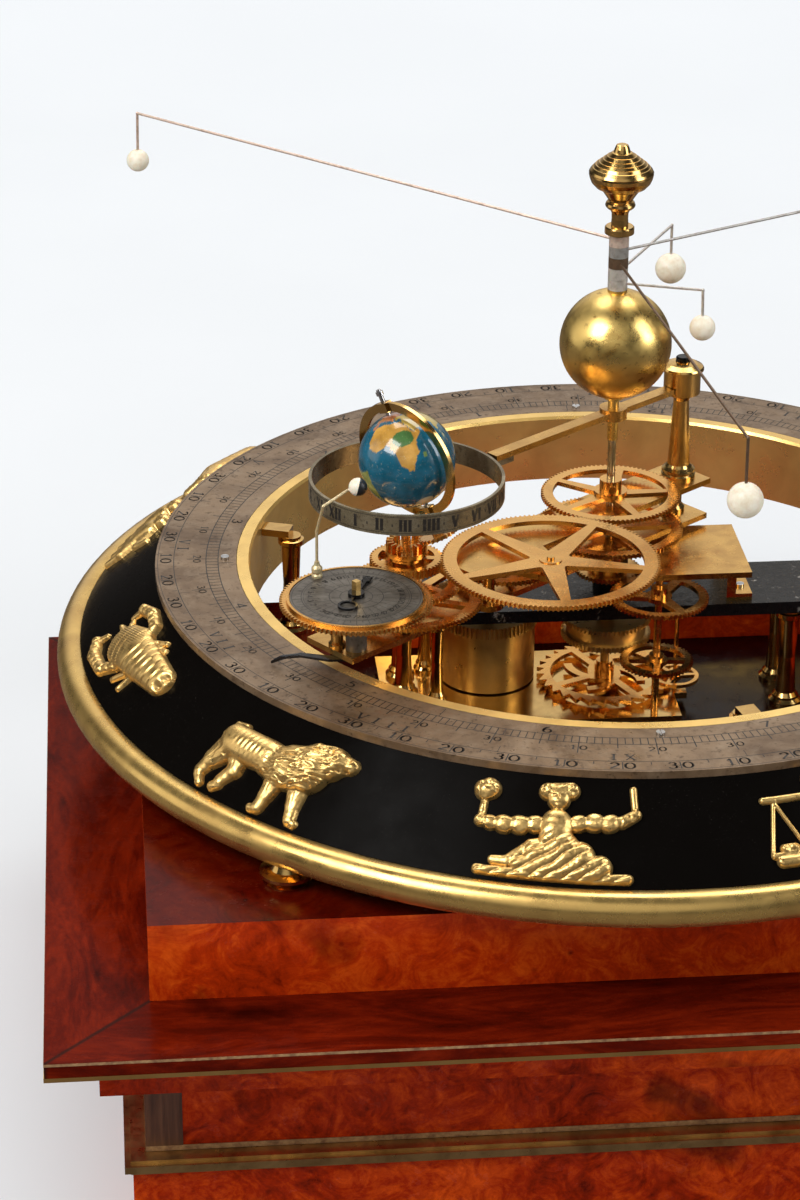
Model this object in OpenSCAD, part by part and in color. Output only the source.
// Planetary clock: an orrery with a silvered calendar ring, on a low burr wood plinth.
// Millimetres, +Z up, origin on the plinth's underside, straight below the sun's axis.

/* [Plinth] */
// Height of the silvered dial's top face above the table
dial_height = 240; // [200:1:300]
// Width of the overhanging slab
slab_width = 615.4; // [600:0.1:640]
// Depth of the overhanging slab, front to back
slab_deep = 450; // [440:1:480]
// Thickness of the overhanging slab
slab_thick = 10.4; // [8:0.2:16]
// Width of the raised burr panel
panel_width = 514.2; // [480:1:540]
// Height of the raised burr panel
panel_high = 42; // [34:1:50]
// Length of the well under the movement, left to right
well_long = 300; // [290:1:306]
// Depth of the well under the movement
well_deep = 17.4; // [10:0.2:24]
// Width of the set-back band below the slab
neck_width = 565; // [540:1:580]
// Width of the burr frieze
frieze_width = 522; // [500:1:540]
// Width of the brass moulding at its widest
moulding_width = 544; // [530:1:560]
// Width of the lower body
body_width = 536; // [520:1:550]

/* [Ring] */
// Outer diameter over the brass rim tube
ring_diameter = 600; // [580:1:612]
// Diameter of the brass rim tube
rim_tube = 17.6; // [14:0.2:22]
// Outer radius of the silvered dial
dial_outer = 245.6; // [235:0.2:250]
// Inner radius of the silvered dial
dial_inner = 201.9; // [198:0.2:206]
// Thickness of the silvered dial
dial_thick = 4; // [3:0.2:6]
// Depth of the black cone below the dial's top
cone_drop = 40; // [34:0.5:46]
// Depth of the brass inner wall
wall_deep = 40; // [30:1:48]
// Width of each turned foot under the rim tube
foot_wide = 27; // [22:0.5:32]

/* [Gears] */
// Gear module, pitch diameter over tooth count
tooth_module = 0.8; // [0.78:0.01:0.82]
// Thickness of a wheel
wheel_thick = 2.4; // [1.8:0.1:2.6]
// Teeth of the upper sun wheel
teeth_sun = 92; // [92:2:92]
// Teeth of the great idler
teeth_idler = 140; // [138:2:142]
// Teeth of the wheel on the earth tube
teeth_earth = 46; // [46:2:46]
// Teeth of the lower sun wheel and of the parallel wheel
teeth_parallel = 98; // [98:2:98]
// Teeth of the small idler between them
teeth_small_idler = 79; // [79:1:80]
// Teeth of the middle wheel on the parallel arbor
teeth_middle = 70; // [66:1:72]
// Teeth of the moon wheel
teeth_moon = 95; // [95:1:95]
// Teeth of the year wheel on the arm's hub
teeth_year = 43; // [43:1:43]
// Teeth of the transfer wheel's upper wheel
teeth_transfer = 65; // [65:1:65]
// Teeth of the transfer wheel's lower wheel
teeth_lower = 48; // [48:1:48]
// Teeth of the centre wheel
teeth_centre = 60; // [60:1:60]
// Teeth round the spring barrel
teeth_barrel = 68; // [68:1:68]
// Teeth of the intermediate pinion
teeth_pinion = 20; // [20:1:20]
// Teeth of the crown wheel under the globe
teeth_crown = 18; // [18:1:18]
// Teeth of the bevel wheel on the globe's axis
teeth_bevel = 24; // [24:1:24]

/* [Year arm] */
// Direction of the year arm at rest, degrees from +X
arm_turn = -142; // [-142:1:-142]
// Thickness of the two brass bars
bar_thick = 3.1; // [2.6:0.1:3.4]
// Width of the lower bar
lower_bar_width = 34; // [32:0.5:36]
// Width of the upper bar
upper_bar_width = 30; // [28:0.5:32]
// Distance of the earth's axis from the sun's axis
earth_distance = 141.3; // [141.3:0.1:141.3]
// Outer radius of the hour ring
hour_ring_radius = 50; // [49:0.5:52]
// Height of the hour ring's band
hour_ring_high = 11; // [9:0.5:12]

/* [Globe and moon] */
// Diameter of the globe
globe_diameter = 49.4; // [44:0.1:50]
// Tilt of the globe's axis
globe_tilt = 23.5; // [23.5:0.1:23.5]
// Outer radius of the flat meridian ring
meridian_radius = 32; // [31:0.1:32]
// Turn of the meridian ring about the globe's axis
meridian_turn = 154; // [0:1:180]
// Radius of the moon wheel's raised rim
moon_rim_radius = 35.2; // [34:0.2:36]
// Diameter of the moon ball
moon_ball = 9.4; // [6:0.2:10]

/* [Sun and planets] */
// Diameter of the sun ball
sun_diameter = 59.2; // [50:0.2:60]
// Diameter of the planet wires
wire_diameter = 1.5; // [1.2:0.1:2]
// Reach of the first arm
reach_1 = 44.6; // [40:1:50]
// Reach of the second arm
reach_2 = 82.4; // [74:0.1:90]
// Reach of the third arm
reach_3 = 227.6; // [215:0.1:240]
// Reach of the fourth arm
reach_4 = 268; // [250:1:300]
// Reach of the fifth arm
reach_5 = 320; // [300:1:340]

/* [Movement] */
// Radius of the spring barrel's wall
barrel_radius = 26.2; // [24:0.2:26.4]
// Tip radius of the escape wheel
escape_radius = 37.4; // [34:0.2:37.6]
// Radius of the balance wheel
balance_radius = 13; // [11:0.5:14]
// Width of the black beam
beam_width = 52; // [48:1:54]
// Length of the black beam
beam_length = 252; // [244:1:270]

/* [View] */
// The piece to draw, or all of them

/* [Hidden] */
$fn = 72;
slab_top = dial_height - 66.6 - panel_high;
slab_low = slab_top - slab_thick;
panel_top = slab_top + panel_high;
well_floor = panel_top - well_deep;
tube_radius = ring_diameter / 2 - rim_tube / 2;
tube_level = dial_height - 8.7 - cone_drop;
feet_at = [229.4, 310.6];
half_wheel = wheel_thick / 2;
m = tooth_module;

// Where each wheel of the year arm stands, in the arm's own frame
function polar(r, a) = [r * cos(a), r * sin(a)];
function third_point(p, q, dp, dq, side) =
  let (v = q - p, d = norm(v), x = (d * d + dp * dp - dq * dq) / (2 * d), y = sqrt(max(0, dp * dp - x * x)))
  p + v / d * x + side * [-v[1], v[0]] / d * y;
function heading(p, q) = atan2(q[1] - p[1], q[0] - p[0]);
function pitch_r(n) = n * m / 2;
// Turn of a wheel so that its gap meets the tooth of the wheel it runs with
function meshed(turn1, n1, dir, n2) = dir + 180 - (0.5 - (dir - turn1) * n1 / 360) * 360 / n2;

earth_at = polar(earth_distance, -4.22);
idler_at = third_point([0, 0], earth_at, pitch_r(teeth_sun + teeth_idler),
  pitch_r(teeth_idler + teeth_earth), 1);
small_reach = pitch_r(teeth_parallel + teeth_small_idler);
small_at = third_point([0, 0], earth_at, small_reach, small_reach, -1);
moon_at = earth_at + polar(pitch_r(teeth_earth + teeth_moon), 20.4);
transfer_at = polar(pitch_r(teeth_year + teeth_transfer), -58.9);
barrel_at = [-64, 12];
pinion_at = third_point(barrel_at, [0, 0], pitch_r(teeth_barrel + teeth_pinion),
  pitch_r(teeth_centre + teeth_pinion), 1);
balance_at = polar(escape_radius + 2.2, -20);
idler_turn = meshed(-arm_turn, teeth_sun, heading([0, 0], idler_at), teeth_idler);
earth_turn = meshed(idler_turn, teeth_idler, heading(idler_at, earth_at), teeth_earth);
small_turn = meshed(-arm_turn, teeth_parallel, heading([0, 0], small_at), teeth_small_idler);
parallel_turn = meshed(small_turn, teeth_small_idler, heading(small_at, earth_at), teeth_parallel);
moon_turn = meshed(earth_turn, teeth_earth, heading(earth_at, moon_at), teeth_moon);
transfer_turn = meshed(arm_turn, teeth_year, heading([0, 0], transfer_at), teeth_transfer);
centre_turn = meshed(transfer_turn, teeth_lower, heading(transfer_at, [0, 0]), teeth_centre);
pinion_turn = meshed(centre_turn, teeth_centre, heading([0, 0], pinion_at), teeth_pinion);
barrel_turn = meshed(pinion_turn, teeth_pinion, heading(pinion_at, barrel_at), teeth_barrel);
upper_level = 35.5;
lower_level = 16;
middle_level = 25;
year_level = -9;
globe_level = 94;
tilt_heading = 156 - arm_turn;
meridian_inner = meridian_radius - 4.6;
pole_low = polar(-(meridian_inner + 2) * sin(globe_tilt), tilt_heading);
bevel_reach = 43;
bar_end = dial_inner + 1.6;
plate_top = well_floor + 7.5;

// Teeth with straight flanks: tip half width 0.12 and root half width 0.27 of a pitch
function tooth_ring(r, n, up, down) = [for (i = [0 : n - 1]) let (p = 360 / n, a = i * p)
  each [polar(r - down, a - 0.27 * p), polar(r + up, a - 0.12 * p),
    polar(r + up, a + 0.12 * p), polar(r - down, a + 0.27 * p)]];

module thick_gear(n, high) {
  translate([0, 0, high / 2]) gear_plate(n, high);
}

module gear_plate(n, thick) {
  linear_extrude(thick, center = true) polygon(tooth_ring(pitch_r(n), n, 0.75 * m, 0.95 * m));
}

// The openings between tapered spokes
module spoke_gaps(rim, hub, spokes, wide_hub, wide_rim) {
  difference() {
    circle(r = rim);
    circle(r = hub);
    for (i = [0 : spokes - 1])
      rotate(i * 360 / spokes) polygon([[0, -wide_hub / 2], [rim + 1, -wide_rim / 2],
        [rim + 1, wide_rim / 2], [0, wide_hub / 2]]);
  }
}

module spoked_gear(n, thick, rim, hub, spokes, wide_hub, wide_rim) {
  linear_extrude(thick, center = true) difference() {
    polygon(tooth_ring(pitch_r(n), n, 0.75 * m, 0.95 * m));
    spoke_gaps(rim, hub, spokes, wide_hub, wide_rim);
  }
}

module rod(r, low, high) {
  translate([0, 0, low]) cylinder(r = r, h = high - low);
}

module on_dial() {
  translate([0, 0, dial_height]) children();
}

module on_arm() {
  translate([0, 0, dial_height]) rotate(arm_turn) children();
}

module at(p) {
  translate([p[0], p[1], 0]) children();
}

// A block of the plinth: its back stands nearer the sun's axis than its front
module plinth_block(wide, low, high) {
  translate([-wide / 2, -wide / 2, low]) cube([wide, wide - slab_width + slab_deep, high - low]);
}

module turned_column(low, high, wide) {
  k = high - low;
  translate([0, 0, low]) rotate_extrude() polygon([[0, 0], [wide, 0], [wide, 2], [wide * 0.8, 3.5],
    [wide * 0.8, 5], [wide * 0.62, 7], [wide * 0.5, k * 0.5], [wide * 0.6, k - 6],
    [wide * 0.8, k - 4.5], [wide * 0.8, k - 2], [wide * 0.62, k - 1.5], [wide * 0.62, k], [0, k]]);
}

// Plinth
module plinth_body() {
  color([0.50, 0.20, 0.08]) {
    plinth_block(body_width, 0, slab_low - 82);
    plinth_block(frieze_width, slab_low - 82, slab_low - 26);
    plinth_block(neck_width, slab_low - 26, slab_low);
  }
}

module plinth_moulding() {
  color([0.80, 0.62, 0.27]) difference() {
    union() {
      plinth_block(moulding_width - 6, slab_low - 82, slab_low - 74);
      plinth_block(moulding_width, slab_low - 79.5, slab_low - 75.5);
    }
    plinth_block(frieze_width, slab_low - 83, slab_low - 73);
  }
}

module plinth_slab() {
  color([0.32, 0.10, 0.05]) plinth_block(slab_width, slab_low, slab_top);
}

module raised_panel() {
  color([0.50, 0.19, 0.07]) difference() {
    plinth_block(panel_width, slab_top, panel_top);
    translate([-well_long / 2, -130, well_floor]) cube([well_long, 192, well_deep + 1]);
  }
}

// Ring
module ring_supports() {
  color([0.84, 0.66, 0.30]) {
    for (a = feet_at) rotate(a) translate([tube_radius - 2, 0, panel_top]) foot();
    for (a = [161.5, 16, -76]) rotate(a) translate([dial_inner - 23.4, 0, 0]) ring_column();
  }
}

module foot() {
  k = tube_level - rim_tube / 2 - panel_top;
  f = foot_wide / 2;
  rotate_extrude() polygon([[0, 0], [f * 0.86, 0], [f * 0.9, 1.4], [f * 0.5, 2.6], [f * 0.5, 3.6], [f, 4.6],
    [f, 6.4], [f * 0.6, 7.4], [f * 0.5, k + 1.2], [0, k + 1.2]]);
}

module ring_column() {
  turned_column(panel_top, dial_height - 8.2, 9);
  translate([0, -5, dial_height - 8.2]) cube([15.5, 10, 4]);
}

module rim_tube_ring() {
  color([0.80, 0.61, 0.25]) difference() {
    translate([0, 0, tube_level]) rotate_extrude($fn = 180) translate([tube_radius, 0])
      circle(d = rim_tube);
    for (a = feet_at) rotate(a) translate([tube_radius - 2, 0, 0])
      rod(foot_wide / 4 + 0.3, panel_top, tube_level - rim_tube / 2 + 1.4);
  }
}

module black_cone() {
  color([0.03, 0.03, 0.03]) on_dial() rotate_extrude($fn = 180) polygon([[dial_outer - 10,
    -dial_thick - 4.5],
    [dial_outer - 10, -dial_thick], [dial_outer + 0.4, -dial_thick], [tube_radius - 4, -cone_drop - 0.6],
    [tube_radius - 7, -cone_drop - 2.6], [dial_outer - 1, -dial_thick - 4.5]]);
}

module inner_wall() {
  color([0.86, 0.68, 0.30]) on_dial() rotate_extrude($fn = 180) polygon([[dial_inner - 0.3, 0],
    [dial_inner - 0.3, -dial_thick], [dial_outer - 10.3, -dial_thick], [dial_outer - 10.3,
      -dial_thick - 2.5],
    [dial_inner - 5, -dial_thick - 2.5], [dial_inner - 5, 1.2 - wall_deep], [dial_inner - 3.4,
      1.2 - wall_deep],
    [dial_inner - 3.4, -wall_deep], [dial_inner - 7.6, -wall_deep], [dial_inner - 7.6, -1.6],
    [dial_inner - 6.6, 0]]);
}

module calendar_dial() {
  color([0.60, 0.56, 0.50]) on_dial() translate([0, 0, -dial_thick]) difference() {
    cylinder(r = dial_outer, h = dial_thick, $fn = 180);
    translate([0, 0, -1]) cylinder(r = dial_inner, h = dial_thick + 2, $fn = 180);
    for (a = [-3, 87, 177, 268.7]) rotate(a) translate([208, 0, -1]) cylinder(r = 1.3, h = 8);
  }
}

module slotted_screw(shank) {
  difference() {
    union() {
      cylinder(r = 2.25, h = 1.5);
      translate([0, 0, -shank]) cylinder(r = 1.25, h = shank);
    }
    translate([-3, -0.35, 0.8]) cube([6, 0.7, 1]);
  }
}

module steel_screws() {
  color([0.70, 0.71, 0.72]) {
    for (a = [-3, 87, 177, 268.7]) on_dial() rotate(a) translate([208, 0, 0]) slotted_screw(dial_thick);
    on_dial() translate([71, -12, -16]) slotted_screw(4.8);
    on_dial() translate([71, 12, -16]) slotted_screw(4.8);
  }
}

// Zodiac figures: rounded strokes [x1, y1, r1, x2, y2, r2], x to the right and y up the cone
cone_slope = atan((cone_drop + 0.6 - dial_thick) / (tube_radius - 4.4 - dial_outer));
figure_scale = norm([tube_radius - 4.4 - dial_outer, cone_drop + 0.6 - dial_thick]) / 55.15;

module stroke(q) {
  hull() {
    translate([q[0], q[1], q[2] * 0.35]) sphere(r = q[2], $fn = 6);
    translate([q[3], q[4], q[5] * 0.35]) sphere(r = q[5], $fn = 6);
  }
}

module figure(a, strokes) {
  difference() {
    on_dial() rotate(a) translate([(tube_radius - 3.6 + dial_outer) / 2, 0,
      -(cone_drop + 0.6 + dial_thick) / 2])
      rotate([0, cone_slope, 0]) rotate(90) scale(figure_scale) for (q = strokes) stroke(q);
    on_dial() rotate_extrude($fn = 120) polygon([[dial_outer - 30, -dial_thick + 0.25],
      [dial_outer + 0.62, -dial_thick + 0.25], [tube_radius - 3.8, -cone_drop - 0.35],
      [tube_radius - 3.8, -cone_drop - 40], [dial_outer - 30, -cone_drop - 40]]);
  }
}

module zodiac_ram() {
  color([0.85, 0.68, 0.32]) figure(107, [
    [-16, 3, 9, 10, 4, 9], [16, 8, 7, 24, 10, 6], [28, 6, 4, 32, 2, 3.4], [18, 14, 3, 26, 17, 3],
    [26, 17, 3, 30, 11, 2.4], [-22, 0, 6, -26, -12, 3.4], [-26, -12, 3, -25, -23, 2.6],
    [-14, 0, 5, -15, -12, 3.4], [-15, -12, 3, -14, -23, 2.6], [8, 0, 5, 9, -12, 3.4],
    [9, -12, 3, 8, -23, 2.6], [15, 0, 5, 20, -12, 3.2], [20, -12, 3, 26, -19, 2.4],
    [-25, 7, 3, -31, 1, 2.6]
  ]);
}

module zodiac_bull() {
  color([0.85, 0.68, 0.32]) figure(139, [
    [-18, 5, 10, 10, 5, 10], [14, 5, 10, 24, 7, 7.5], [28, 4, 5, 33, -2, 4],
    [26, 13, 2.4, 33, 17, 1.6], [20, 13, 2.4, 17, 20, 1.6], [-24, 1, 6.5, -29, -12, 3.6],
    [-29, -12, 3, -32, -23, 2.8], [-14, 0, 5, -14, -12, 3.6], [-14, -12, 3, -18, -23, 2.8],
    [10, 0, 6, 12, -12, 3.6], [12, -12, 3, 9, -23, 2.8], [18, 0, 5, 25, -10, 3.4],
    [25, -10, 3, 22, -19, 2.6], [-25, 7, 3, -36, 4, 2], [-36, 4, 2, -37, -8, 2.6]
  ]);
}

module zodiac_twins() {
  color([0.85, 0.68, 0.32]) figure(159, [
    [-11, 19, 4.8, -11, 20, 4.8], [11, 19, 4.8, 11, 20, 4.8], [-11, 2, 6, -11, 11, 6.6],
    [11, 2, 6, 11, 11, 6.6], [-8, 11, 3, 8, 11, 3], [-16, 11, 3, -24, 3, 2.6],
    [16, 11, 3, 24, 3, 2.6], [-24, 3, 2.4, -22, -7, 2.2], [24, 3, 2.4, 27, 12, 2.2],
    [-13, -1, 4.6, -16, -12, 3.6], [-16, -12, 3.2, -17, -23, 2.8], [-9, -1, 4.6, -6, -12, 3.6],
    [-6, -12, 3.2, -6, -23, 2.8], [9, -1, 4.6, 7, -12, 3.6], [7, -12, 3.2, 5, -23, 2.8],
    [13, -1, 4.6, 17, -12, 3.6], [17, -12, 3.2, 16, -23, 2.8]
  ]);
}

module zodiac_crab() {
  color([0.85, 0.68, 0.32]) figure(193.3, [
    [-12, 1, 11, -2, 4, 12], [4, 4, 11.5, 22, 5, 9.6], [22, 5, 9.6, 38, 5, 8],
    [-4, -6, 3.4, -14, -18, 3.6], [-14, -18, 3.8, -31, -19, 4], [-31, -19, 4, -42, -15, 3.4],
    [-42, -15, 2.8, -39, -8, 1.8], [-2, 12, 3.4, -4, 20, 3.6], [-4, 20, 3.6, -17, 21, 3.6],
    [-17, 21, 3.6, -29, 18, 3.4], [-29, 18, 2.8, -32, 10, 1.8], [8, 12, 2.4, 16, 20, 1.8],
    [12, 11, 2.2, 20, 17, 1.6], [8, -4, 2.4, 2, -15, 1.8], [14, -3, 2.2, 13, -15, 1.8],
    [-18, 2, 2.6, -34, 2, 1.8], [-18, 5, 2.6, -29, 9, 1.6]
  ]);
}

module zodiac_lion() {
  color([0.85, 0.68, 0.32]) figure(224, [
    [-27, 3, 8, -4, 3, 8], [-4, 2, 8.6, 8, 1, 10], [10, 2, 11, 20, 4, 11.5],
    [22, 8, 10, 30, 11, 8.4], [34, 12, 6.2, 40, 12.5, 4.4], [-29, 0, 7.6, -36, -10, 5.2],
    [-36, -10, 4.4, -40, -18, 3.6], [-40, -20, 3, -37, -22.5, 2.6], [-22, -1, 6.6, -20, -10, 4.8],
    [-20, -10, 4.2, -25, -18, 3.4], [-25, -20, 3, -28, -22, 2.6], [6, -4, 6.2, 5, -15, 4.4],
    [5, -15, 4, 4, -22, 3.2], [4, -22.5, 2.8, 0, -22.8, 2.4], [20, -5, 6, 22, -15, 4.2],
    [22, -15, 3.8, 24, -22, 3.2], [24, -22.5, 2.8, 27, -22.8, 2.4], [-34, 0, 3, -37.5, 4, 2],
    [-37.5, 4, 2, -33, 11, 2], [-33, 11, 2, -27, 11, 3]
  ]);
}

module zodiac_maiden() {
  color([0.85, 0.68, 0.32]) figure(256.5, [
    [0, 15.5, 5.6, 0, 17, 5.6], [-5.5, 19, 4.2, 5.5, 19.4, 4.2], [0, 9, 3.2, 0, 12, 3.2],
    [0, 0, 7.6, 0, 3, 7.2], [-8, 2.5, 4, -12, 1.6, 4], [-12, 1.6, 4.2, -21, 0.4, 4.2],
    [-21, 0.4, 4.2, -31, 0.6, 4], [-31, 0.6, 3.4, -37, 1, 3], [-36.5, 2, 2, -35.5, 12, 2],
    [-36, 16, 5, -33, 17.5, 5], [8, 3.4, 4, 14, 5, 4.2], [14, 5, 4.2, 22, 4, 4.2],
    [22, 4, 4.2, 31, 5.4, 4], [31, 5.4, 3.4, 37, 9, 3], [37, 9, 1.7, 34.8, 22, 1.8],
    [0, -4, 7.6, 4, -10, 8.6], [-8, -13, 6.2, 12, -13, 7.6], [-16, -17.5, 5, 22, -17.5, 6],
    [-36, -22.4, 2.4, 36, -22.4, 2.4], [-6, -8, 4, -11, -8.5, 3.4],
    [-11, -8.5, 3.2, -22, -17.5, 3], [-22, -17.5, 3, -29, -17.5, 2.4]
  ]);
}

module zodiac_scales() {
  color([0.85, 0.68, 0.32]) figure(284, [
    [-25, 13, 1.9, 25, 13, 1.9], [0, -19, 2.4, 0, 19, 2.4], [0, 20.5, 3.4, 0, 21.5, 2.8],
    [-9, -22.5, 2.6, 9, -22.5, 2.6], [-20, 12, 1.1, -27.5, -14, 1.1],
    [-20, 12, 1.1, -9.5, -14, 1.1], [20, 12, 1.1, 27.5, -14, 1.1], [20, 12, 1.1, 9.5, -14, 1.1],
    [-27, -15, 1.8, -10, -15, 1.8], [-24, -18.4, 3, -13, -18.4, 3], [10, -15, 1.8, 27, -15, 1.8],
    [13, -18.4, 3, 24, -18.4, 3], [-21, -12, 2.6, -16, -12, 2.6], [16, -12, 2.6, 21, -12, 2.6]
  ]);
}

module zodiac_scorpion() {
  color([0.85, 0.68, 0.32]) figure(314, [
    [-8, 0, 8, 10, 0, 9], [14, 6, 3, 24, 14, 3], [24, 14, 3.4, 33, 13, 3], [14, -6, 3, 24, -14, 3],
    [24, -14, 3.4, 33, -13, 3], [-12, 0, 6, -20, 2, 5], [-20, 2, 5, -27, 8, 4.4],
    [-27, 8, 4.2, -28, 16, 3.6], [-28, 16, 3.4, -22, 21, 3], [-22, 21, 2.6, -16, 19, 1.6],
    [-4, 7, 1.8, -8, 17, 1.6], [3, 8, 1.8, 3, 18, 1.6], [-4, -7, 1.8, -8, -17, 1.6],
    [3, -8, 1.8, 3, -18, 1.6]
  ]);
}

module zodiac_archer() {
  color([0.85, 0.68, 0.32]) figure(344, [
    [-20, -2, 8, 4, -1, 7.6], [6, 2, 6, 7, 9, 5.6], [8, 18, 4.4, 8, 19, 4.4],
    [10, 10, 2.8, 24, 10, 2.4], [5, 11, 2.8, 14, 14, 2.4], [24, 22, 1.6, 29, 10, 1.8],
    [29, 10, 1.8, 24, -2, 1.6], [10, 12, 1.1, 34, 10, 1.1], [-25, -4, 5.5, -29, -13, 3],
    [-29, -13, 2.8, -32, -22, 2.6], [-16, -6, 4.4, -15, -14, 3], [-15, -14, 2.8, -19, -22, 2.6],
    [4, -6, 4.2, 12, -13, 2.8], [12, -13, 2.6, 10, -22, 2.4], [-26, 2, 2.6, -35, -6, 2.8]
  ]);
}

module zodiac_goat() {
  color([0.85, 0.68, 0.32]) figure(14, [
    [-6, 0, 9, 12, 4, 8], [16, 10, 5, 22, 15, 4.6], [24, 14, 3.6, 29, 11, 2.8],
    [19, 19, 2, 11, 23, 1.8], [11, 23, 1.8, 5, 20, 1.4], [14, -2, 4.4, 22, -6, 3],
    [22, -6, 2.8, 27, -1, 2.4], [8, -5, 4.2, 14, -15, 3], [14, -15, 2.8, 22, -17, 2.4],
    [-12, -3, 8, -20, -8, 6], [-20, -8, 6, -29, -6, 4.6], [-29, -6, 4.4, -33, 3, 3.4],
    [-33, 3, 3, -38, 13, 2.6], [-33, 3, 3, -27, 14, 2.6]
  ]);
}

module zodiac_water_bearer() {
  color([0.85, 0.68, 0.32]) figure(44, [
    [0, 19, 4.8, 0, 20, 4.8], [0, 3, 6.4, 0, 11, 7], [-6, 12, 3, -14, 8, 2.8],
    [-14, 8, 2.8, -18, 14, 2.6], [6, 12, 3, 16, 11, 2.8], [18, 12, 5.4, 27, 9, 5],
    [29, 7, 3.4, 31, 2, 2.2], [31, 2, 2.2, 33, -8, 2], [33, -8, 2.2, 29, -20, 3],
    [29, -21, 3, 17, -22, 2.6], [-3, -2, 5, -6, -12, 3.8], [-6, -12, 3.4, -9, -22, 3],
    [4, -2, 5, 8, -12, 3.8], [8, -12, 3.4, 6, -22, 3], [-9, 2, 3, -13, -14, 3]
  ]);
}

module zodiac_fish() {
  color([0.85, 0.68, 0.32]) figure(75, [
    [-16, 10, 6.4, 6, 12, 7.4], [6, 12, 7, 18, 11, 4], [-16, 10, 5, -26, 8, 2.6],
    [-27, 8, 2.6, -33, 15, 2.4], [-27, 8, 2.6, -33, 3, 2.4], [-8, -13, 7.4, 14, -11, 6.4],
    [-8, -13, 7, -20, -12, 4], [14, -11, 5, 25, -9, 2.6], [26, -9, 2.6, 32, -2, 2.4],
    [26, -9, 2.6, 32, -15, 2.4], [19, 10, 1.2, 29, 3, 1.2], [29, 3, 1.2, -28, -3, 1.2],
    [-28, -3, 1.2, -21, -11, 1.2]
  ]);
}

// Frame and fixed wheels on the sun's axis
module black_beam() {
  color([0.03, 0.03, 0.03]) on_dial() difference() {
    union() {
      translate([-beam_length / 2, -beam_width / 2, -27]) cube([beam_length, beam_width, 7]);
      rod(8, -20.5, -14);
      at(pinion_at) rod(1.5, -43.4, -26);
      at(pinion_at) rod(3, -45, -43.4);
    }
    rod(2.2, -24, -10);
    rod(1.56, -28, -24.6);
    at(barrel_at) rod(2.06, -28, -24);
    at(balance_at) rod(1.26, -28, -25);
    translate([71, -12, -20.9]) cylinder(r = 1.25, h = 2);
    translate([71, 12, -20.9]) cylinder(r = 1.25, h = 2);
  }
}

module beam_columns() {
  color([0.84, 0.66, 0.30]) {
    for (y = [-19, 10]) translate([98, y, 0]) turned_column(well_floor, dial_height - 27, 9);
    for (y = [-8, 14]) translate([-112, y, 0]) turned_column(plate_top, dial_height - 27, 8);
  }
}

module bearing_cock() {
  color([0.85, 0.67, 0.31]) on_dial() difference() {
    union() {
      translate([17.2, -42, 3]) cube([54, 62, 3.2]);
      translate([62, -22, -17.5]) cube([5, 42, 21]);
      translate([62, -22, -20]) cube([14, 42, 4]);
    }
    at(transfer_at) rod(2.06, 0, 10);
    translate([71, -12, -21]) cylinder(r = 1.25, h = 6);
    translate([71, 12, -21]) cylinder(r = 1.25, h = 6);
  }
}

module sun_arbor() {
  color([0.62, 0.63, 0.65]) on_dial() rod(2.2, -24, 192);
}

module lower_sun_wheel() {
  color([0.86, 0.68, 0.31]) on_dial() difference() {
    union() {
      translate([0, 0, lower_level]) spoked_gear(teeth_parallel, wheel_thick, 33.5, 8, 5, 7, 4);
      rod(5.5, lower_level - 1, lower_level + 8);
    }
    rod(2.2, 0, 40);
  }
}

module upper_sun_wheel() {
  color([0.86, 0.68, 0.31]) on_dial() difference() {
    union() {
      translate([0, 0, upper_level]) spoked_gear(teeth_sun, wheel_thick, 31, 8, 5, 7, 4);
      rod(9, upper_level + 1, upper_level + 3);
      rod(6, upper_level + 1, upper_level + 9.4);
      translate([0, -5, upper_level + 5.6]) rotate([90, 0, 0]) cylinder(r = 2.2, h = 3);
    }
    rod(2.2, 0, 60);
  }
}

module sun_ball() {
  color([0.83, 0.65, 0.30]) on_dial() difference() {
    union() {
      translate([0, 0, 122.7]) sphere(d = sun_diameter, $fn = 96);
      rod(2.9, 68, 124);
      rod(5.2, 149, 153.2);
      rod(5, 91.5, 97);
    }
    rod(2.2, 60, 160);
  }
}

module finial() {
  color([0.84, 0.66, 0.30]) on_dial() difference() {
    rotate_extrude() polygon([[0, 183.2], [5.2, 183.2], [5.2, 184.1], [7.7, 184.1], [7.7, 187.2],
      [7.1, 187.9], [4.6, 187.9], [4.3, 192], [4.4, 195], [5.2, 196.8], [6.6, 197.6], [7.6, 198.6],
      [7.85, 199.4], [7.5, 200.6], [6.9, 201.3], [6.3, 201.8], [6.4, 202.4], [7.6, 204.2],
      [9.2, 206.6], [10.2, 208], [10.6, 208.4], [13.2, 209.4], [15.4, 211.8], [16.3, 214],
      [16.75, 216], [16.6, 216.8], [16.8, 217.2], [16.2, 218.4], [15, 219.9], [14.6, 220],
      [13.6, 221.4], [13, 221.4], [11.8, 222.8], [11.2, 222.8], [9.8, 224.4], [9.2, 224.4], [7.8, 226],
      [7.2, 226], [5.4, 227.6], [4.4, 227.9], [3.9, 229.6], [3.1, 231.6], [2.6, 231.9], [0, 231.9]]);
    rod(2.2, 170, 192);
  }
}

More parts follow.
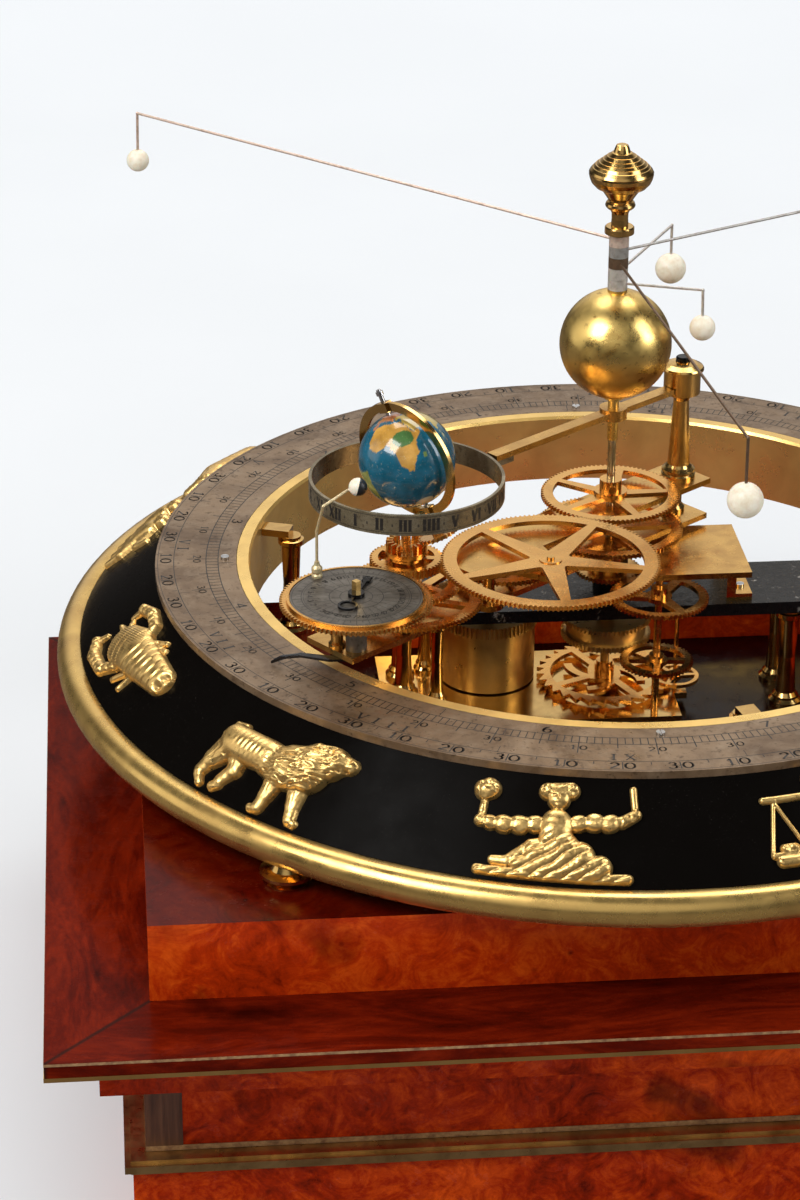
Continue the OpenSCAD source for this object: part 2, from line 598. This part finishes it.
// Movement under the beam
module movement_frame() {
  color([0.84, 0.66, 0.30]) difference() {
    union() {
      translate([-124, -46, plate_top - 3.5]) cube([160, 84, 3.5]);
      translate([30, balance_at[1] - 6, plate_top - 3.5]) cube([balance_at[0] - 24, 12, 3.5]);
      for (x = [-112, 26]) for (y = [-34, 26]) translate([x, y, 0]) rod(7, well_floor, plate_top - 3);
      for (p = [[-95, -19], [-98, 20]]) at(p) turned_column(plate_top, dial_height - 27, 6);
    }
    at(barrel_at) rod(2.06, plate_top - 2.5, plate_top + 1);
    at(balance_at) rod(1.26, plate_top - 2.5, plate_top + 1);
    at(transfer_at) rod(2.06, plate_top - 2.5, plate_top + 1);
    rod(2.06, plate_top - 2.5, plate_top + 1);
  }
}

module spring_barrel() {
  color([0.80, 0.63, 0.30]) on_dial() at(barrel_at) {
    difference() {
      union() {
        rod(barrel_radius, -75.6, -40);
        translate([0, 0, -39]) rotate(barrel_turn) gear_plate(teeth_barrel, 6);
      }
      rod(barrel_radius - 1.6, -73.6, -42.5);
    }
    rod(3.4, -74, -42);
    rod(2, -78.6, -24.6);
    rod(4, -36.5, -28);
  }
}

module mainspring() {
  color([0.45, 0.47, 0.52]) on_dial() at(barrel_at) translate([0, 0, -73]) linear_extrude(30)
    polygon(concat([for (i = [0 : 200]) polar(3.9 + i * 0.098, i * 9)],
      [for (i = [200 : -1 : 0]) polar(4.6 + i * 0.098, i * 9)]));
}

module intermediate_pinion() {
  color([0.80, 0.63, 0.30]) on_dial() at(pinion_at) difference() {
    union() {
      translate([0, 0, -38.6]) rotate(pinion_turn) gear_plate(teeth_pinion, 6.8);
      rod(4, -42.6, -34);
    }
    rod(1.56, -50, -20);
  }
}

module centre_wheel() {
  color([0.70, 0.52, 0.22]) on_dial() {
    translate([0, 0, -37]) rotate(centre_turn) gear_plate(teeth_centre, wheel_thick);
    rod(pitch_r(teeth_centre) - 2.2, -46, -37);
    translate([0, 0, -47]) rotate(centre_turn) gear_plate(teeth_centre, 3);
    rod(1.5, -37, -25);
    rod(5, -36.5, -27.6);
    rod(2.4, -70.9, -48);
  }
}

module escape_wheel() {
  k = escape_radius;
  color([0.86, 0.60, 0.28]) on_dial() {
    translate([0, 0, -74.2]) linear_extrude(2.4) difference() {
      polygon([for (i = [0 : 29]) each [polar(k - 4, i * 12), polar(k, i * 12 + 9), polar(k, i * 12 + 10.2),
        polar(k - 4, i * 12 + 11)]]);
      difference() {
        circle(r = k - 7.6);
        circle(r = 9);
        for (i = [0 : 3]) rotate(i * 90) translate([0, -12]) difference() {
          circle(r = 21);
          circle(r = 16.4);
          translate([-40, -40]) square([40, 80]);
          translate([0, -40]) square([40, 40]);
        }
        for (i = [0 : 3]) rotate(i * 90 + 25) translate([8, -2.2]) square([k - 14, 4.4]);
      }
    }
    difference() {
      union() {
        rod(5.4, -73, -66);
        rod(4.6, -67, -64);
      }
      rod(2.4, -70.9, -60);
    }
    rod(2, -78.6, -73);
  }
}

module balance_wheel() {
  color([0.84, 0.66, 0.30]) on_dial() at(balance_at) {
    translate([0, 0, -70]) linear_extrude(2) difference() {
      circle(r = balance_radius);
      spoke_gaps(balance_radius - 2.2, 3.4, 3, 3, 2.2);
    }
    rod(3, -71, -65);
    rod(1.2, -78.6, -25.4);
  }
}

module transfer_wheel() {
  color([0.86, 0.66, 0.30]) on_dial() at(transfer_at) {
    translate([0, 0, year_level]) rotate(transfer_turn) spoked_gear(teeth_transfer, wheel_thick, 21.5,
      7, 3, 7, 5);
    translate([0, 0, -47]) rotate(transfer_turn) spoked_gear(teeth_lower, wheel_thick, 15.4, 6, 4, 4, 3);
    rod(4.5, year_level, year_level + 6);
    rod(4, -50.5, -43);
    rod(2, -78.6, 5.8);
  }
}

// Year arm
module lower_bar() {
  color([0.86, 0.66, 0.30]) on_arm() difference() {
    union() {
      translate([-60, -lower_bar_width / 2, 12 - bar_thick]) cube([bar_end + 60, lower_bar_width, bar_thick]);
      translate([106, 15, 0]) rod(8, 12 - bar_thick, 12);
      rod(11, -5.5, 12 - bar_thick);
      rod(9, -13.9, -5);
      translate([0, 0, year_level]) gear_plate(teeth_year, wheel_thick);
      at(small_at) rod(4, 11.5, lower_level - half_wheel - 0.3);
      at(small_at) rod(2, 11.5, lower_level + half_wheel + 1.6);
    }
    rod(2.26, -20, 20);
    at(earth_at) rod(2.26, 0, 20);
  }
}

module upper_bar() {
  color([0.86, 0.66, 0.30]) on_arm() difference() {
    union() {
      translate([-64, -upper_bar_width / 2, 31 - bar_thick]) cube([182, upper_bar_width, bar_thick]);
      translate([0, 0, 31 - bar_thick]) linear_extrude(bar_thick) union() {
        translate([idler_at[0], idler_at[1]]) circle(r = 9);
        polygon([[idler_at[0] - 20, 10], [idler_at[0] + 20, 10], [idler_at[0] + 9, idler_at[1]],
          [idler_at[0] - 9, idler_at[1]]]);
      }
      translate([106, 15, 0]) rod(8, 31 - bar_thick, 31);
      at(idler_at) rod(5, 30, upper_level - half_wheel - 0.3);
      at(idler_at) rod(2, 30, upper_level + half_wheel + 1.8);
    }
    rod(2.26, 0, 40);
  }
}

module arm_pillars() {
  color([0.86, 0.68, 0.31]) on_arm() {
    translate([-50, 0, 0]) rotate_extrude() polygon([[0, 12], [7, 12], [7, 14], [5.2, 16], [5.2, 24],
      [6.6, 26], [6.6, 31 - bar_thick], [0, 31 - bar_thick]]);
    translate([106, 15, 0]) rod(3, 12, 31 - bar_thick);
    translate([bar_end - 5, 0, 0]) rotate_extrude() polygon([[0, 12], [4.4, 12], [4.4, 13.4], [3.2, 14.6],
      [3.2, 22], [0, 22]]);
    translate([-54, 0, 0]) difference() {
      rotate_extrude() polygon([[0, 31], [9.4, 31], [9.4, 32.6], [8.6, 33.4], [9.2, 34.6], [9, 35.6],
        [7.4, 37], [6.2, 38.5], [5.9, 42], [5, 60], [4.3, 76], [4.9, 78], [6, 79.6], [10, 80.4],
        [10, 93], [11.6, 93.6], [11.6, 94.6], [11, 95.6], [8, 97.2], [4, 97.8], [4, 98.4], [3.8, 98.4],
        [3.8, 100.4], [3.2, 101], [0, 101]]);
      translate([-2, -3.9, 82]) cube([20, 7.8, 3.5]);
    }
  }
}

module support_arm() {
  color([0.84, 0.66, 0.30]) on_arm() difference() {
    union() {
      translate([-55.6, -3.5, 82]) cube([earth_at[0] - hour_ring_radius + 55.1, 7, 3.2]);
      rod(7.4, 80.4, 86.6);
    }
    rod(2.96, 70, 90);
  }
}

module hour_ring() {
  color([0.42, 0.42, 0.38]) on_arm() {
    at(earth_at) difference() {
      rod(hour_ring_radius, 85 - hour_ring_high, 85);
      rod(hour_ring_radius - 1.6, 60, 90);
    }
    translate([earth_at[0] - hour_ring_radius - 12.9, -3.5, 79]) cube([15.2, 7, 3]);
  }
}

module date_pointer() {
  color([0.05, 0.05, 0.05]) on_arm() {
    hull() {
      translate([dial_inner - 5.9, 12, 7.9]) cylinder(r = 3, h = 1);
      translate([dial_inner + 4.6, 3, 7.4]) cylinder(r = 2.4, h = 1.2);
    }
    hull() {
      translate([dial_inner + 4.6, 3, 7.4]) cylinder(r = 2.4, h = 1.2);
      translate([dial_inner + 12.1, -10, 7.2]) cylinder(r = 1.7, h = 1.2);
    }
    hull() {
      translate([dial_inner + 12.1, -10, 7.2]) cylinder(r = 1.7, h = 1.2);
      translate([dial_inner + 17.1, -18.6, 4.6]) cylinder(r = 1.2, h = 1.2);
    }
    hull() {
      translate([dial_inner + 17.1, -18.6, 4.6]) cylinder(r = 1.2, h = 1.2);
      translate([dial_inner + 19.7, -23.6, 1]) cylinder(r = 0.6, h = 1);
    }
  }
}

module great_idler() {
  color([0.86, 0.66, 0.30]) on_arm() at(idler_at) difference() {
    union() {
      translate([0, 0, upper_level]) rotate(idler_turn) spoked_gear(teeth_idler, wheel_thick, 48.4, 11,
        5, 13, 5);
      rod(6, upper_level, upper_level + half_wheel + 0.5);
    }
    rod(2.06, 20, 50);
  }
}

module small_idler() {
  color([0.84, 0.64, 0.30]) on_arm() at(small_at) difference() {
    translate([0, 0, lower_level]) rotate(small_turn) spoked_gear(teeth_small_idler, wheel_thick, 26, 7,
      5, 6, 4);
    rod(2.06, 0, 30);
  }
}

module earth_gear() {
  difference() {
    thick_gear(teeth_earth, 5.1);
    translate([0, 0, -1]) linear_extrude(8) spoke_gaps(14.6, 9.6, 5, 5, 3.6);
  }
}

module earth_tube() {
  color([0.86, 0.66, 0.30]) on_arm() at(earth_at) difference() {
    union() {
      translate([0, 0, upper_level - half_wheel]) rotate(earth_turn) earth_gear();
      rod(4.2, 30.6, 43);
      rod(8.6, 39.4, 42);
      rod(11, 41.6, 44.2);
      translate([0, 0, 44]) linear_extrude(5) difference() {
        polygon(tooth_ring(9.4, teeth_crown, 1.2, 2.6));
        circle(r = 6.9);
      }
      rod(3.4, 43, 46);
    }
    rod(2.26, 20, 60);
  }
}

module parallel_wheel() {
  color([0.86, 0.66, 0.30]) on_arm() at(earth_at) {
    translate([0, 0, lower_level]) rotate(parallel_turn) spoked_gear(teeth_parallel, wheel_thick, 33, 8,
      5, 7, 4);
    translate([0, 0, middle_level]) rotate(parallel_turn) spoked_gear(teeth_middle, wheel_thick, 22,
      8, 4, 5, 4);
    rod(5.5, 12.3, 30.3);
    rod(2.2, 9.4, 62);
  }
}

module on_globe() {
  on_arm() at(earth_at) translate([0, 0, globe_level]) rotate(tilt_heading) rotate([0, globe_tilt, 0])
    children();
}

module meridian_ring() {
  color([0.84, 0.66, 0.30]) difference() {
    union() {
      on_globe() rotate(meridian_turn) rotate([90, 0, 0]) difference() {
        translate([0, 0, -1]) cylinder(r = meridian_radius, h = 2, $fn = 144);
        translate([0, 0, -2]) cylinder(r = meridian_inner, h = 4, $fn = 144);
      }
      for (k = [-1, 1]) on_globe() rotate(meridian_turn) translate([-3.2, -2.4,
        k * (meridian_inner + 2) - 2.6]) cube([6.4, 4.8, 5.2]);
      on_arm() at(earth_at) rod(3.4, 55, 61);
      on_arm() at(earth_at) limb([0, 0, 58], [pole_low[0], pole_low[1], globe_level - (meridian_inner + 2)
        * cos(globe_tilt)], 4.4);
    }
    on_arm() at(earth_at) rod(2.2, 50, 62);
    on_globe() rod(1.26, -40, 40);
  }
}

module globe() {
  color([0.05, 0.35, 0.55]) on_globe() difference() {
    sphere(d = globe_diameter, $fn = 96);
    rod(1.2, -30, 30);
  }
}

module globe_axis() {
  color([0.65, 0.66, 0.68]) on_globe() {
    rod(1.2, -bevel_reach - 1.4, 39);
    rod(1.9, 36, 38);
    translate([0, 0, -bevel_reach]) linear_extrude(2, center = true)
      polygon(tooth_ring(10, teeth_bevel, 0.6, 0.8));
    rod(3, -bevel_reach, -bevel_reach + 6);
  }
}

module moon_wheel() {
  color([0.86, 0.68, 0.31]) on_arm() at(moon_at) difference() {
    union() {
      translate([0, 0, 37.3]) rotate(moon_turn) thick_gear(teeth_moon, 2.3);
      rod(5.6, 32.3, 38);
      rod(moon_rim_radius, 37.3, 41.2);
    }
    rod(moon_rim_radius - 1.4, 39.6, 50);
    rod(3.06, 10, 50);
  }
}

module moon_dial() {
  color([0.45, 0.44, 0.42]) on_arm() at(moon_at) difference() {
    union() {
      rod(moon_rim_radius - 1.8, 39.9, 40.9);
      rod(3, 12, 40.5);
      rod(5.4, 12, 32);
    }
    rod(1.56, 11, 45);
  }
}

module moon_figure() {
  post = [192.7, -21.4];
  ball = [178.3, -6.3, 91];
  color([0.85, 0.82, 0.74]) on_arm() {
    translate([post[0], post[1], 0]) rotate_extrude()
      polygon([[0, 40.9], [2.8, 40.9], [2.8, 42], [2.2, 42.8], [2.8, 44], [2.8, 46], [1.6, 47.4],
        [1.2, 49.4], [0, 49.4]]);
    limb([post[0], post[1], 48], [post[0], post[1], 66], wire_diameter);
    limb([post[0], post[1], 66], [198, -10.5, 84.9], wire_diameter);
    limb([198, -10.5, 84.9], [183, -9, 89.6], wire_diameter);
    limb([183, -9, 89.6], ball, wire_diameter);
    translate(ball) sphere(d = moon_ball, $fn = 36);
  }
}

// A straight round wire from p to q with a rounded far end
module limb(p, q, wide) {
  v = q - p;
  translate(p) rotate([0, acos(v[2] / norm(v)), atan2(v[1], v[0])]) {
    cylinder(d = wide, h = norm(v), $fn = 24);
    translate([0, 0, norm(v)]) sphere(d = wide * 1.16, $fn = 24);
  }
}

module moon_hand() {
  color([0.06, 0.06, 0.06]) on_arm() at(moon_at) {
    rod(1.5, 12.6, 49);
    rod(4.2, 41.3, 43.4);
    translate([-1.6, -1.6, 43]) cube([3.2, 3.2, 6.6]);
    rotate(210) {
      translate([2, -0.9, 41.6]) cube([13.5, 1.8, 1.2]);
      translate([15, -2, 41.6]) cube([5.4, 4, 1.2]);
      translate([-14, 0, 41.6]) difference() {
        cylinder(r = 5, h = 1.2);
        translate([0, 0, -1]) cylinder(r = 3.8, h = 4);
      }
      translate([-10, -0.7, 41.6]) cube([8, 1.4, 1.2]);
    }
  }
}

// Planet arms: collar, wire, hanging wire and ball
module planet_arm(step, reach, dir, tip, drop, ball) {
  low = 153.3 + step * 5.96;
  mid = low + 2.9;
  end = [reach, 0, tip];
  color([0.74, 0.74, 0.74]) on_dial() rotate(dir) {
    difference() {
      union() {
        rod(5.2, low, low + 5.86);
        limb([3.6, 0, mid], end, wire_diameter);
      }
      rod(2.26, low - 1, low + 8);
    }
    limb(end, [reach + 0.6, 0, tip - drop], wire_diameter);
    translate([reach + 0.6, 0, tip - drop]) sphere(r = ball, $fn = 48);
  }
}

module planet_arm_1() {
  planet_arm(0, reach_1, -9.8, 154, 21, 6.8);
}

module planet_arm_2() {
  planet_arm(1, reach_2, 60.7, 162, 25, 8.4);
}

module planet_arm_3() {
  planet_arm(2, reach_3, -83.2, 163, 31, 8.6);
}

module planet_arm_4() {
  planet_arm(3, reach_4, 25, 178, 28, 8);
}

module planet_arm_5() {
  planet_arm(4, reach_5, 140.2, 190, 28, 6.4);
}

plinth_body();
plinth_moulding();
plinth_slab();
raised_panel();
ring_supports();
rim_tube_ring();
black_cone();
inner_wall();
calendar_dial();
steel_screws();
zodiac_ram();
zodiac_bull();
zodiac_twins();
zodiac_crab();
zodiac_lion();
zodiac_maiden();
zodiac_scales();
zodiac_scorpion();
zodiac_archer();
zodiac_goat();
zodiac_water_bearer();
zodiac_fish();
black_beam();
beam_columns();
bearing_cock();
sun_arbor();
lower_sun_wheel();
upper_sun_wheel();
sun_ball();
finial();
movement_frame();
spring_barrel();
mainspring();
intermediate_pinion();
centre_wheel();
escape_wheel();
balance_wheel();
transfer_wheel();
lower_bar();
upper_bar();
arm_pillars();
support_arm();
hour_ring();
date_pointer();
great_idler();
small_idler();
earth_tube();
parallel_wheel();
meridian_ring();
globe();
globe_axis();
moon_wheel();
moon_dial();
moon_figure();
moon_hand();
planet_arm_1();
planet_arm_2();
planet_arm_3();
planet_arm_4();
planet_arm_5();
